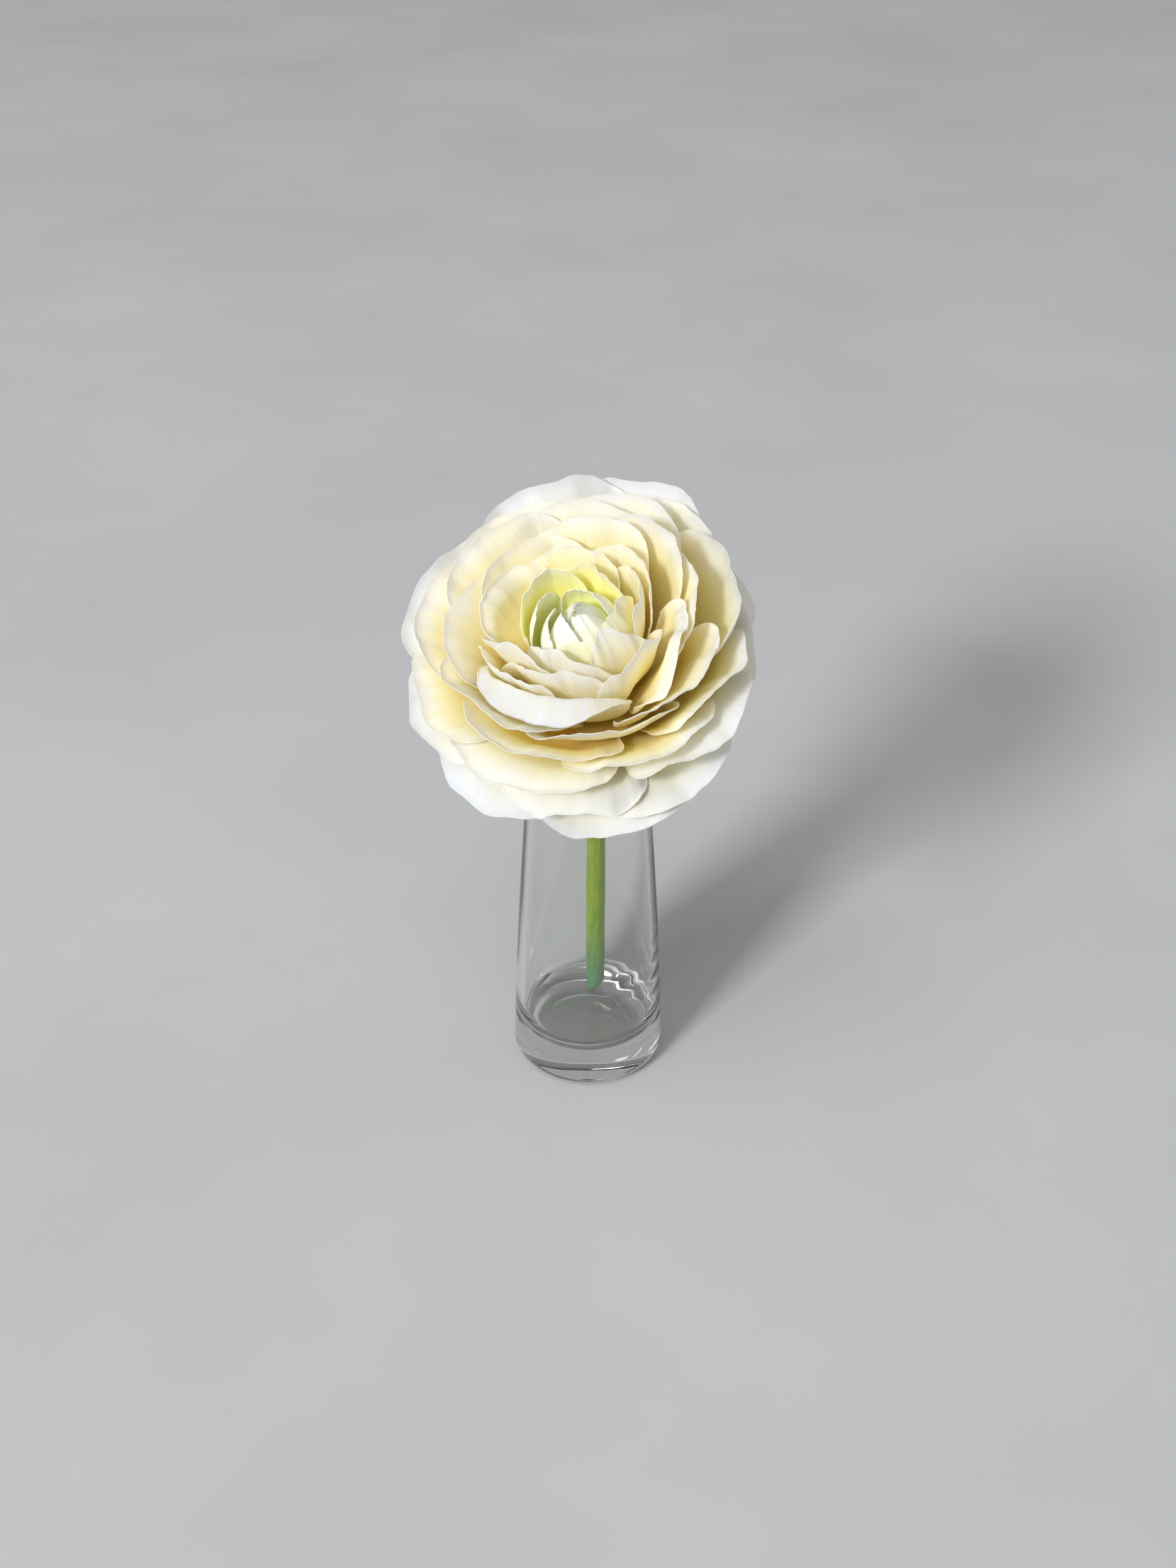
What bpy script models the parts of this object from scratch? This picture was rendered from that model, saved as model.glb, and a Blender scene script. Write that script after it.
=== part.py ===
"""A ranunculus flower standing in a small glass bud vase.

The vase is turned about the world's Z axis and stands on z = 0. The stem's foot is in the back corner of
the vase's floor, and the stem leans on the front of the mouth, so the head faces forwards (-Y) and up.

The head is modelled about the flower's own axis, from the point where the petals spring out of the stem:
  azimuth  goes round the axis, in degrees: 0 is the right, 90 the back, 180 the left and 270 the front
  reach    is the distance from that point, in millimetres
  lean     is the angle away from the axis, in degrees: 0 is closed over the heart, 90 is spread flat
A petal gives its lean at each azimuth and reach. The petals are laid from the heart outwards, and each is
pushed out wherever it would touch one that is already there.
"""

import math

import bmesh
import bpy
import numpy as np
from mathutils import Matrix, Vector

MM = 0.001  # the sizes below are in millimetres, and Blender's unit is the metre

# Vase
VASE_HEIGHT = 100.0
VASE_RADIUS = 20.0
VASE_TAPER = 0.035
VASE_TAPER_GROWTH = 0.00025
HEEL_RADIUS = 4.0
WALL = 2.2
LIP_WALL = 1.6
FLOOR = 9.0
CORNER_RADIUS = 8.0
VASE_SEGMENTS = 32

# Stem
STEM_RADIUS = 2.4
FOOT = Vector((2.0, 11.4, 9.9))
HEAD = Vector((2.0, -13.8, 118.6))
FORWARD_TILT = 22.0
SIDE_TILT = 10.0
NECK_LENGTH = 22.0
CUT_ANGLE = 35.0
STEM_SIDES = 12
RECEPTACLE_RADIUS = 7.0
RECEPTACLE_BELOW = 8.5

# Petals
PETAL_THICKNESS = 0.45
LAYER_PITCH = 1.0
ROOT_REACH = 7.4
CLAW = 0.36
ACROSS = 8
SHARES_ALONG = (0.0, 0.21, 0.43, 0.65, 0.85, 1.0)
ROLL_START = 0.76
FOLD_START = 0.6
FOLD_RATE = 1.2
SIDE_HOLD = 0.75

# Each whorl: reach, half width in azimuth, lean at the root, belly of the lean half way up, and curl of the rim
WHORLS = {
    "heart_petal": (30, 70, 9, 15, -2),
    "eye_petal": (32.5, 50, 24, 8, 0),
    "cup_petal": (35, 46, 36, 5, 2),
    "inner_petal": (39, 42, 50, 3, 3),
    "middle_petal": (42, 38, 64, 2, 3),
    "outer_petal": (43, 36, 78, 1, 4),
    "guard_petal": (43, 33, 92, -3, 5),
}

# Each petal: azimuth and lean of its tip, then what differs from its whorl
PETALS = {
    "heart_petal": [
        (75, 5, {"half_width": 80, "swirl": -30, "reach": 29}),
        (320, 7, {"half_width": 62, "swirl": -50}),
        (255, 8, {"half_width": 58, "swirl": -50}),
        (60, 10, {"half_width": 75, "swirl": -30}),
        (215, 11, {"half_width": 50, "swirl": -50, "reach": 29}),
        (175, 17, {"half_width": 46, "swirl": -30}),
    ],
    "eye_petal": [
        (130, 21, {"belly": 9}),
        (65, 18, {"half_width": 42}),
        (346, 15, {"half_width": 42, "reach": 31.5}),
        (275, 17, {"reach": 30.5}),
    ],
    "cup_petal": [
        (150, 34, {"half_width": 40, "belly": 9, "roll": 5, "fold": 0.5}),
        (90, 26, {"half_width": 44, "reach": 34.5}),
        (15, 23, {"reach": 34}),
        (308, 17, {"reach": 34, "half_width": 28}),
        (255, 20, {"reach": 32.5}),
        (215, 25, {"root": 38, "reach": 34.5, "half_width": 42}),
        (40, 28, {"reach": 36}),
    ],
    "inner_petal": [
        (250, 25, {"root": 41, "reach": 34.5, "half_width": 46}),
        (222, 33, {"reach": 37, "half_width": 38}),
        (125, 38, {"reach": 38}),
        (78, 37, {"reach": 40, "half_width": 44}),
        (312, 32, {"reach": 37, "half_width": 34}),
        (247, 23, {"root": 40, "reach": 37, "half_width": 53, "roll": 22, "curl": 0, "fold": 1}),
        (170, 47, {"reach": 39}),
        (334, 35, {"reach": 39, "half_width": 34, "roll": 6, "curl": 0, "fold": 0.6}),
    ],
    "middle_petal": [
        (45, 38, {"reach": 42}),
        (130, 48, {"reach": 44}),
        (8, 35, {"reach": 40.5, "half_width": 40}),
        (222, 43, {"reach": 41, "half_width": 44}),
        (92, 45, {"reach": 43, "half_width": 40}),
        (322, 49, {"reach": 42, "half_width": 36}),
        (278, 50, {"reach": 41, "half_width": 40, "curl": 0}),
    ],
    "outer_petal": [
        (158, 56, {"reach": 45}),
        (70, 50, {"reach": 45, "half_width": 34}),
        (15, 50, {"reach": 45, "half_width": 38, "belly": 8}),
        (118, 51, {"reach": 46, "half_width": 34}),
        (245, 55, {"reach": 41, "half_width": 42}),
        (332, 57, {"reach": 43, "half_width": 32}),
        (188, 65, {"reach": 43, "half_width": 32}),
        (295, 61, {"reach": 42, "half_width": 36}),
        (52, 54, {"reach": 46, "half_width": 28}),
    ],
    "guard_petal": [
        (242, 67, {"reach": 41, "half_width": 40}),
        (100, 54, {"reach": 50}),
        (148, 58, {"reach": 48}),
        (318, 68, {"reach": 43}),
        (356, 61, {"reach": 39.5, "half_width": 36}),
        (70, 56, {"reach": 50}),
        (190, 72, {"reach": 43.5}),
        (262, 77, {"reach": 41, "half_width": 30}),
        (28, 62, {"reach": 41.5, "half_width": 30}),
        (298, 78, {"reach": 42}),
        (225, 83, {"reach": 41.5, "half_width": 34}),
        (280, 84, {"reach": 42, "half_width": 34}),
    ],
}

SEPAL_COUNT = 5
SEPAL_FIRST_AZIMUTH = 30.0
SEPAL_REACH = 20.0
SEPAL_HALF_WIDTH = 27.0
SEPAL_ROOT_LEAN = 120.0
SEPAL_TIP_LEAN = 118.0

# The map on which petals are laid
MAP_REACHES = np.arange(ROOT_REACH, 56.0, 1.0)
MAP_AZIMUTHS = np.arange(0.0, 360.0, 3.0)
LAYING_STEPS = 3
LAYING_ROUNDS = 6

COLOURS = {
    "vase": ((0.86, 0.88, 0.87, 1.0), 0.05),
    "stem": ((0.24, 0.42, 0.07, 1.0), 0.45),
    "sepal": ((0.33, 0.46, 0.12, 1.0), 0.55),
    "heart_petal": ((0.80, 0.86, 0.52, 1.0), 0.55),
    "eye_petal": ((0.84, 0.84, 0.42, 1.0), 0.55),
    "petal": ((0.93, 0.88, 0.72, 1.0), 0.55),
}


def smooth(x):
    """0 below 0, 1 above 1, and an S curve between them."""
    x = np.clip(x, 0.0, 1.0)
    return x * x * (3.0 - 2.0 * x)


def material(name):
    """The Principled material of that colour, made once."""
    made = bpy.data.materials.get(name)
    if made is None:
        made = bpy.data.materials.new(name)
        made.use_nodes = True
        shader = made.node_tree.nodes["Principled BSDF"]
        colour, roughness = COLOURS[name]
        shader.inputs["Base Color"].default_value = colour
        shader.inputs["Roughness"].default_value = roughness
        shader.inputs["Metallic"].default_value = 0.0
        if name == "vase":
            shader.inputs["Transmission Weight"].default_value = 1.0
            shader.inputs["IOR"].default_value = 1.5
    return made


def add_object(name, vertices, faces, colour, parent=None):
    """A mesh object with outward normals, from points in millimetres."""
    mesh = bpy.data.meshes.new(name)
    mesh.from_pydata([Vector(v) * MM for v in vertices], [], faces)
    shape = bmesh.new()
    shape.from_mesh(mesh)
    bmesh.ops.recalc_face_normals(shape, faces=shape.faces)
    shape.to_mesh(mesh)
    shape.free()
    mesh.materials.append(material(colour))
    mesh.shade_smooth()
    obj = bpy.data.objects.new(name, mesh)
    bpy.context.scene.collection.objects.link(obj)
    obj.parent = parent
    return obj


def loft(rings):
    """Vertices and faces of a closed skin over rings of equal counts, with both ends filled."""
    count = len(rings[0])
    vertices = [point for ring in rings for point in ring]
    faces = []
    for i in range(len(rings) - 1):
        for j in range(count):
            k = (j + 1) % count
            faces.append((i * count + j, i * count + k, (i + 1) * count + k, (i + 1) * count + j))
    faces.append(tuple(reversed(range(count))))
    faces.append(tuple(range(len(vertices) - count, len(vertices))))
    return vertices, faces


def arc(centre_r, centre_z, radius, start, end, steps):
    """Profile points along an arc, with angles in degrees from the +r direction."""
    angles = np.radians(np.linspace(start, end, steps + 1))
    return [(centre_r + radius * math.cos(a), centre_z + radius * math.sin(a)) for a in angles]


def vase_radius(z):
    """Outer radius of the vase at that height."""
    return VASE_RADIUS - VASE_TAPER * z - VASE_TAPER_GROWTH * z * z


def make_vase():
    """The turned vase: a thick floor, a rounded heel, tapering walls and a rounded lip."""
    heights = np.linspace(12.0, VASE_HEIGHT - LIP_WALL / 2, 7)
    profile = arc(vase_radius(HEEL_RADIUS) - HEEL_RADIUS, HEEL_RADIUS, HEEL_RADIUS, -90, 0, 4)
    profile += [(vase_radius(z), z) for z in heights]
    lip_middle = vase_radius(VASE_HEIGHT) - LIP_WALL / 2
    profile += arc(lip_middle, VASE_HEIGHT - LIP_WALL / 2, LIP_WALL / 2, 45, 135, 2)
    for z in heights[::-1]:
        wall = WALL + (LIP_WALL - WALL) * (z / VASE_HEIGHT) ** 2
        profile.append((vase_radius(z) - wall, z))
    corner = vase_radius(FLOOR + CORNER_RADIUS) - WALL - CORNER_RADIUS
    profile[-1] = (corner + CORNER_RADIUS, FLOOR + CORNER_RADIUS)
    profile += arc(corner, FLOOR + CORNER_RADIUS, CORNER_RADIUS, -22.5, -90, 3)
    turns = np.radians(np.arange(VASE_SEGMENTS) * 360.0 / VASE_SEGMENTS)
    rings = [[(r * math.cos(t), r * math.sin(t), z) for t in turns] for r, z in profile]
    return add_object("vase", *loft(rings), "vase")


def head_matrix():
    """From the flower's own frame to the world's, in millimetres."""
    forward, side = math.radians(FORWARD_TILT), math.radians(SIDE_TILT)
    axis = Vector((-math.sin(side), -math.sin(forward) * math.cos(side), math.cos(forward) * math.cos(side)))
    right = (Vector((1, 0, 0)) - axis * axis.x).normalized()
    back = axis.cross(right)
    turn = Matrix((right, back, axis)).transposed().to_4x4()
    return Matrix.Translation(HEAD) @ turn


def stem_path():
    """Points of the stem's centreline, straight from the foot and bending at the neck into the flower's axis."""
    axis = head_matrix().to_3x3() @ Vector((0, 0, 1))
    top = HEAD - axis * RECEPTACLE_BELOW
    rise = (HEAD - FOOT).normalized()
    neck = HEAD - rise * NECK_LENGTH
    straight = [FOOT.lerp(neck, k / 6) for k in range(6)]
    bend = []
    for k in range(5):
        t = k / 4
        control = neck.lerp(top, 0.5) + (rise - axis) * (NECK_LENGTH / 8)
        bend.append(neck.lerp(control, t).lerp(control.lerp(top, t), t))
    return straight + bend, axis


def make_stem():
    """The cut stem with the receptacle that the petals spring from, in one piece."""
    path, axis = stem_path()
    turns = [2 * math.pi * k / STEM_SIDES for k in range(STEM_SIDES)]
    rings = []

    def add_ring(centre, direction, radius, slant=0.0):
        across = (Vector((1, 0, 0)) - direction * direction.x).normalized()
        other = direction.cross(across)
        ring = []
        for t in turns:
            offset = (across * math.cos(t) + other * math.sin(t)) * radius
            rise = direction * (radius * math.cos(t) * slant)
            ring.append(centre + offset + rise)
        rings.append(ring)

    for i, point in enumerate(path):
        ahead = path[min(i + 1, len(path) - 1)] - path[max(i - 1, 0)]
        slant = math.tan(math.radians(CUT_ANGLE)) if i == 0 else 0.0
        centre = point + ahead.normalized() * (STEM_RADIUS * slant)
        add_ring(centre, ahead.normalized(), STEM_RADIUS, slant)
    for angle in (-55, -30, -5, 20, 45, 70):
        a = math.radians(angle)
        add_ring(HEAD + axis * (RECEPTACLE_RADIUS * math.sin(a)), axis, RECEPTACLE_RADIUS * math.cos(a))
    return add_object("stem", *loft(rings), "stem")


def width_at(along):
    """Share of a petal's half width at that share of its length: a narrow claw, then a broad blade."""
    return CLAW + (1.0 - CLAW) * np.sin(np.pi / 2 * np.clip(along / 0.66, 0.0, 1.0))


def length_at(across):
    """Share of a petal's length at that share of its half width: a rounded top."""
    return 1.0 - 0.36 * (1.0 - (1.0 - np.abs(across) ** 2.4) ** (1 / 2.4))


def fold_up(along, fold):
    """Share of the reach at that share of the length: a folded petal stops reaching out near its rim."""
    return (along - FOLD_RATE * fold * np.maximum(along - FOLD_START, 0.0) ** 2) / fold_total(fold)


def fold_total(fold):
    return 1.0 - FOLD_RATE * fold * (1.0 - FOLD_START) ** 2


def unfold(share, fold):
    """The share of the length that has that share of the reach."""
    flat = share * fold_total(fold)
    if fold == 0.0:
        return flat
    rate = FOLD_RATE * fold
    inside = np.clip(1.0 - 4.0 * rate * (flat - FOLD_START), 0.0, 1.0)
    return np.where(flat < FOLD_START, flat, FOLD_START + (1.0 - np.sqrt(inside)) / (2.0 * rate))


class Petal:
    """One petal's azimuth, reach and lean over a grid of shares across and along it."""

    def __init__(self, whorl, azimuth, tip, changes):
        reach, half_width, root, belly, curl = WHORLS[whorl]
        values = {"reach": reach, "half_width": half_width, "root": root, "belly": belly, "curl": curl}
        values.update({"swirl": 0.0, "roll": 0.0, "twist": 2.0, "fold": 0.0})
        values.update(changes)
        self.azimuth, self.tip = azimuth, tip
        self.__dict__.update(values)
        shares = np.sin(np.linspace(-1, 1, ACROSS + 1) * math.pi / 2)
        self.across, self.along = np.meshgrid(shares, SHARES_ALONG, indexing="ij")
        self.azimuths = self.azimuth + self.across * self.half_width * width_at(self.along)
        self.azimuths += self.swirl * (self.along - 0.5)
        rise = fold_up(self.along, self.fold) * length_at(self.across)
        self.reaches = ROOT_REACH + (self.reach - ROOT_REACH) * rise
        rise = self.root + (self.tip - self.root) * self.along
        belly = self.belly * np.sin(np.pi * self.along)
        curl = self.curl * (smooth((self.along - 0.7) / 0.3) - self.along**2 * 0.5)
        roll = self.roll * smooth((self.along - ROLL_START) / (1.0 - ROLL_START))
        roll = roll * (1.0 - SIDE_HOLD * self.across**2)
        self.leans = rise + belly + curl + roll + self.twist * self.across * self.along

    def points(self):
        """The grid's points in the flower's frame, in millimetres."""
        azimuth, lean = np.radians(self.azimuths), np.radians(self.leans)
        r = self.reaches * np.sin(lean)
        return np.stack([r * np.cos(azimuth), r * np.sin(azimuth), self.reaches * np.cos(lean)], -1)

    def shares_of(self, azimuths, reaches):
        """Shares across and along the petal of points given by azimuth and reach."""
        rise = (reaches - ROOT_REACH) / (self.reach - ROOT_REACH)
        along = unfold(rise, self.fold)
        for _ in range(8):
            inside = np.clip(along, 0.0, 1.0)
            turn = azimuths - self.azimuth - self.swirl * (inside - 0.5)
            across = ((turn + 180.0) % 360.0 - 180.0) / (self.half_width * width_at(inside))
            along = unfold(rise / length_at(np.clip(across, -1.0, 1.0)), self.fold)
        return across, along

    def lean_map(self):
        """Lean over the map, and -inf where the petal isn't."""
        azimuths, reaches = np.meshgrid(MAP_AZIMUTHS, MAP_REACHES, indexing="ij")
        across, along = self.shares_of(azimuths, reaches)
        near = (np.abs(across) < 1.12) & (along > -0.05) & (along < 1.06)
        i = (np.arcsin(np.clip(across, -1, 1)) / math.pi + 0.5) * ACROSS
        j = np.interp(np.clip(along, 0, 1), SHARES_ALONG, np.arange(len(SHARES_ALONG)))
        return np.where(near, between(self.leans, i, j), -np.inf)

    def lie_over(self, layer):
        """Leans out wherever the petal would touch what is already laid, in a smooth swell."""
        rows = np.linspace(0, ACROSS, ACROSS * LAYING_STEPS + 1)
        columns = np.linspace(0, len(SHARES_ALONG) - 1, (len(SHARES_ALONG) - 1) * LAYING_STEPS + 1)
        i, j = np.meshgrid(rows, columns, indexing="ij")
        reaches = between(self.reaches, i, j)
        below = highest_near(layer, between(self.azimuths, i, j), reaches)
        needed = below + np.degrees(LAYER_PITCH / reaches) - between(self.leans, i, j)
        needed = np.where(np.isfinite(needed), np.maximum(needed, 0.0), 0.0)
        push = np.zeros_like(self.leans)
        for _ in range(LAYING_ROUNDS):
            lack = np.maximum(needed - between(push, i, j), 0.0)
            more = np.zeros_like(push)
            for corner_i in (np.floor(i).astype(int), np.ceil(i).astype(int)):
                for corner_j in (np.floor(j).astype(int), np.ceil(j).astype(int)):
                    np.maximum.at(more, (corner_i, corner_j), lack)
            push += 0.6 * more
            wide = np.pad(push, 1, mode="edge")
            around = (wide[:-2, 1:-1] + wide[2:, 1:-1] + wide[1:-1, :-2] + wide[1:-1, 2:]) / 4
            push = np.maximum(push, 0.6 * around)
        self.leans = self.leans + push


def between(grid, i, j):
    """Values of a grid at fractional places."""
    i0 = np.clip(np.floor(i).astype(int), 0, grid.shape[0] - 2)
    j0 = np.clip(np.floor(j).astype(int), 0, grid.shape[1] - 2)
    u, v = i - i0, j - j0
    low = grid[i0, j0] * (1 - v) + grid[i0, j0 + 1] * v
    high = grid[i0 + 1, j0] * (1 - v) + grid[i0 + 1, j0 + 1] * v
    return low * (1 - u) + high * u


def highest_near(layer, azimuths, reaches):
    """Highest value of the four map cells round each point; the azimuth wraps round."""
    i0 = np.floor((azimuths % 360.0) / (MAP_AZIMUTHS[1] - MAP_AZIMUTHS[0])).astype(int)
    j0 = np.floor((reaches - MAP_REACHES[0]) / (MAP_REACHES[1] - MAP_REACHES[0])).astype(int)
    found = np.full(azimuths.shape, -np.inf)
    for di in (0, 1):
        for dj in (0, 1):
            i, j = (i0 + di) % layer.shape[0], np.clip(j0 + dj, 0, layer.shape[1] - 1)
            found = np.maximum(found, layer[i, j])
    return found


def add_sheet(name, points, thickness, colour, parent):
    """A thin solid from a grid of points on its middle surface."""
    rows, columns = points.shape[:2]
    faces = []
    for i in range(rows - 1):
        for j in range(columns - 1):
            faces.append((i * columns + j, (i + 1) * columns + j, (i + 1) * columns + j + 1, i * columns + j + 1))
    obj = add_object(name, points.reshape(-1, 3).tolist(), faces, colour, parent)
    solidify = obj.modifiers.new("thickness", "SOLIDIFY")
    solidify.thickness = thickness * MM
    solidify.offset = 0.0
    return obj


def make_petals(head):
    """Every petal, laid from the heart outwards."""
    layer = np.full((len(MAP_AZIMUTHS), len(MAP_REACHES)), -np.inf)
    for whorl, rows in PETALS.items():
        colour = whorl if whorl in COLOURS else "petal"
        for number, row in enumerate(rows, 1):
            petal = Petal(whorl, *row)
            petal.lie_over(layer)
            layer = np.maximum(layer, petal.lean_map())
            add_sheet(f"{whorl}_{number:02d}", petal.points(), PETAL_THICKNESS, colour, head)


def make_sepals(head):
    """The five sepals under the head."""
    for k in range(SEPAL_COUNT):
        azimuth = SEPAL_FIRST_AZIMUTH + k * 360.0 / SEPAL_COUNT
        changes = {"reach": SEPAL_REACH, "half_width": SEPAL_HALF_WIDTH, "root": SEPAL_ROOT_LEAN}
        changes.update({"belly": 0.0, "curl": 0.0, "twist": 0.0})
        sepal = Petal("guard_petal", azimuth, SEPAL_TIP_LEAN, changes)
        add_sheet(f"sepal_{k + 1}", sepal.points(), PETAL_THICKNESS, "sepal", head)


def main():
    for obj in list(bpy.data.objects):
        bpy.data.objects.remove(obj)
    make_vase()
    make_stem()
    head = bpy.data.objects.new("head", None)
    bpy.context.scene.collection.objects.link(head)
    place = head_matrix()
    head.location = place.translation * MM
    head.rotation_euler = place.to_euler()
    make_petals(head)
    make_sepals(head)


main()
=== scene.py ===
"""The looks of the ranunculus in its glass bud vase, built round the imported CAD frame.

Lengths in the tables are in millimetres. The head is worked out about the flower's own axis, from the point
where the petals spring out of the stem: azimuth goes round the axis (0 right, 90 back, 180 left, 270 front),
reach is the distance from that point, and lean is the angle away from the axis. Each CAD petal is one such
sheet. Here the same sheets get waves, ribs, thin uneven rims and a fine mesh.
"""

import math

import bpy
import numpy as np
from mathutils import Matrix, Vector


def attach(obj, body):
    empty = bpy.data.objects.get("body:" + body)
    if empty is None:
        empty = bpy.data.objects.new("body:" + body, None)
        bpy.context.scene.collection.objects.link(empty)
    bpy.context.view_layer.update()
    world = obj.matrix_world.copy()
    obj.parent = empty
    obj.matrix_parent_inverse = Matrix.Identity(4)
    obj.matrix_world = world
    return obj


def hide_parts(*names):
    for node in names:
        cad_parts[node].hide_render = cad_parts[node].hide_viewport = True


MM = 0.001

# ---------------------------------------------------------------- the CAD's own values
VASE_HEIGHT = 100.0
VASE_RADIUS = 20.0
VASE_TAPER = 0.035
VASE_TAPER_GROWTH = 0.00025
HEEL_RADIUS = 4.0
WALL = 2.2
LIP_WALL = 1.6
FLOOR = 9.0
CORNER_RADIUS = 8.0

STEM_RADIUS = 2.4
FOOT = Vector((2.0, 11.4, 9.9))
HEAD = Vector((2.0, -13.8, 118.6))
FORWARD_TILT = 22.0
SIDE_TILT = 10.0
NECK_LENGTH = 22.0
CUT_ANGLE = 35.0
RECEPTACLE_RADIUS = 7.0
RECEPTACLE_BELOW = 8.5

ROOT_REACH = 7.4
LAYER_PITCH = 1.0
CLAW = 0.36
ACROSS = 8
SHARES_ALONG = (0.0, 0.21, 0.43, 0.65, 0.85, 1.0)
ROLL_START = 0.76
FOLD_START = 0.6
FOLD_RATE = 1.2
SIDE_HOLD = 0.75
LAYING_STEPS = 3
LAYING_ROUNDS = 6
LAYING_EASE = 0.6

# Each whorl: reach, half width in azimuth, lean at the root, belly of the lean half way up, curl of the rim
WHORLS = {
    "heart_petal": (30, 70, 9, 15, -2),
    "eye_petal": (32.5, 50, 24, 8, 0),
    "cup_petal": (35, 46, 36, 5, 2),
    "inner_petal": (39, 42, 50, 3, 3),
    "middle_petal": (42, 38, 64, 2, 3),
    "outer_petal": (43, 36, 78, 1, 4),
    "guard_petal": (43, 33, 92, -3, 5),
}

# Each petal: azimuth and lean of its tip, then what differs from its whorl
PETALS = {
    "heart_petal": [
        (75, 5, {"half_width": 80, "swirl": -30, "reach": 29}),
        (320, 7, {"half_width": 62, "swirl": -50}),
        (255, 8, {"half_width": 58, "swirl": -50}),
        (60, 10, {"half_width": 75, "swirl": -30}),
        (215, 11, {"half_width": 50, "swirl": -50, "reach": 29}),
        (175, 17, {"half_width": 46, "swirl": -30}),
    ],
    "eye_petal": [
        (130, 21, {"belly": 9}),
        (65, 18, {"half_width": 42}),
        (346, 15, {"half_width": 42, "reach": 31.5}),
        (275, 17, {"reach": 30.5}),
    ],
    "cup_petal": [
        (150, 34, {"half_width": 40, "belly": 9, "roll": 5, "fold": 0.5}),
        (90, 26, {"half_width": 44, "reach": 34.5}),
        (15, 23, {"reach": 34}),
        (308, 17, {"reach": 34, "half_width": 28}),
        (255, 20, {"reach": 32.5}),
        (215, 25, {"root": 38, "reach": 34.5, "half_width": 42}),
        (40, 28, {"reach": 36}),
    ],
    "inner_petal": [
        (250, 25, {"root": 41, "reach": 34.5, "half_width": 46}),
        (222, 33, {"reach": 37, "half_width": 38}),
        (125, 38, {"reach": 38}),
        (78, 37, {"reach": 40, "half_width": 44}),
        (312, 32, {"reach": 37, "half_width": 34}),
        (247, 23, {"root": 40, "reach": 37, "half_width": 53, "roll": 22, "curl": 0, "fold": 1}),
        (170, 47, {"reach": 39}),
        (334, 35, {"reach": 39, "half_width": 34, "roll": 6, "curl": 0, "fold": 0.6}),
    ],
    "middle_petal": [
        (45, 38, {"reach": 42}),
        (130, 48, {"reach": 44}),
        (8, 35, {"reach": 40.5, "half_width": 40}),
        (222, 43, {"reach": 41, "half_width": 44}),
        (92, 45, {"reach": 43, "half_width": 40}),
        (322, 49, {"reach": 42, "half_width": 36}),
        (278, 50, {"reach": 41, "half_width": 40, "curl": 0}),
    ],
    "outer_petal": [
        (158, 56, {"reach": 45}),
        (70, 50, {"reach": 45, "half_width": 34}),
        (15, 50, {"reach": 45, "half_width": 38, "belly": 8}),
        (118, 51, {"reach": 46, "half_width": 34}),
        (245, 55, {"reach": 41, "half_width": 42}),
        (332, 57, {"reach": 43, "half_width": 32}),
        (188, 65, {"reach": 43, "half_width": 32}),
        (295, 61, {"reach": 42, "half_width": 36}),
        (52, 54, {"reach": 46, "half_width": 28}),
    ],
    "guard_petal": [
        (242, 67, {"reach": 41, "half_width": 40}),
        (100, 54, {"reach": 50}),
        (148, 58, {"reach": 48}),
        (318, 68, {"reach": 43}),
        (356, 61, {"reach": 39.5, "half_width": 36}),
        (70, 56, {"reach": 50}),
        (190, 72, {"reach": 43.5}),
        (262, 77, {"reach": 41, "half_width": 30}),
        (28, 62, {"reach": 41.5, "half_width": 30}),
        (298, 78, {"reach": 42}),
        (225, 83, {"reach": 41.5, "half_width": 34}),
        (280, 84, {"reach": 42, "half_width": 34}),
    ],
}

SEPAL_COUNT = 5
SEPAL_FIRST_AZIMUTH = 30.0
SEPAL_REACH = 20.0
SEPAL_HALF_WIDTH = 27.0
SEPAL_ROOT_LEAN = 120.0
SEPAL_TIP_LEAN = 118.0

# The map of leans that the CAD's petals are laid over
MAP_STEPS = (3.0, 1.0)
MAP_AZIMUTHS = np.arange(0.0, 360.0, MAP_STEPS[0])
MAP_REACHES = np.arange(ROOT_REACH, 56.0, MAP_STEPS[1])

# ---------------------------------------------------------------- what the fine petals add
FINE_ACROSS = 56
FINE_ALONG = 40
RIM_CROWDING = 1.6
FINE_PITCH = 0.5
FINE_STEPS = (1.5, 0.5)
FINE_MAP_CELLS = (240, 105)
SWELL_ACROSS = 18
SWELL_ALONG = 12
SETTLE_ROUNDS = 6
SEEDS_OF_SEPALS = 100
ROOT_SINK = 0.7
BUD_CLOSING = 3.5

# Waves across a petal: how many there are from side to side, and their size
WAVES = ((1.3, 1.0), (2.3, 0.8), (3.9, 0.5), (6.5, 0.25))
PLEATS = ((9.0, 0.5), (14.0, 0.4), (21.0, 0.25))
RIM_TEETH = ((17, 0.6), (31, 0.5), (53, 0.4))
PLEAT_LEAN = 0.22

# How far the outer side of a petal, and a petal that folds out as a lip, have faded to their rim's paleness
OUTER_PALENESS = 0.6
LIP_PALENESS = 0.7

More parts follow.
